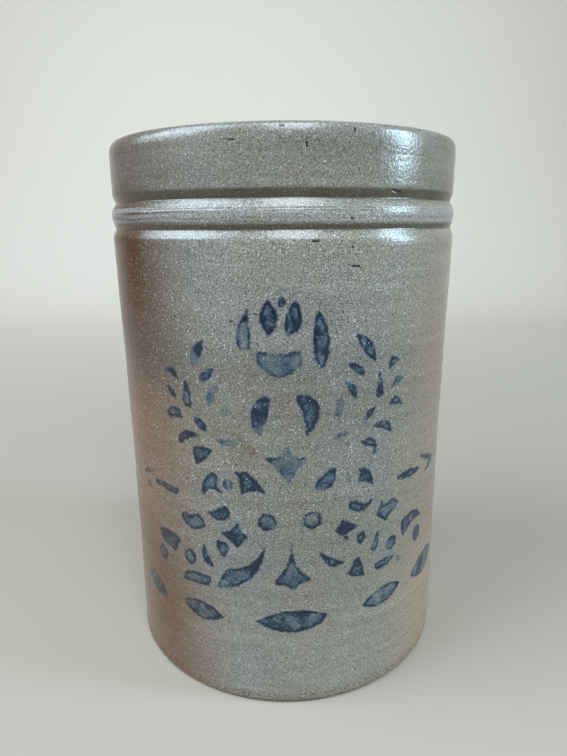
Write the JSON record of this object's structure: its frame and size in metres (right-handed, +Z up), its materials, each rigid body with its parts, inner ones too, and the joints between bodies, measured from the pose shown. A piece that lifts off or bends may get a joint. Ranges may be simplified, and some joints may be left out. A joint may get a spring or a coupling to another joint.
{
  "type": "wax sealer jar",
  "caption": "Straight-sided salt-glazed stoneware canning jar with a grooved collar, a recessed tin lid and a poured wax ring that seals it.",
  "frame": {"origin": "centre of the flat base, on the surface the jar stands on", "axes": "+Z up along the jar's axis, -Y towards the decorated front, +X to the right of someone facing that front"},
  "size_m": [0.1334, 0.1334, 0.2017],
  "materials": {
    "stoneware": "salt glaze, satin with a fine orange-peel skin",
    "tinplate": "dull, stamped",
    "wax": "poured, satin"
  },
  "bodies": {
    "jar": {"stoneware_jar": "stoneware"},
    "lid": {"tin_lid": "tinplate"},
    "wax": {"wax_seal": "wax"}
  },
  "joints": [
    {"name": "lid_lift", "type": "slide", "parent": "jar", "child": "lid", "axis": [0, 0, 1], "range_m": [0, 0.06]},
    {"name": "wax_lift", "type": "slide", "parent": "lid", "child": "wax", "axis": [0, 0, 1], "range_m": [0, 0.03]}
  ]
}
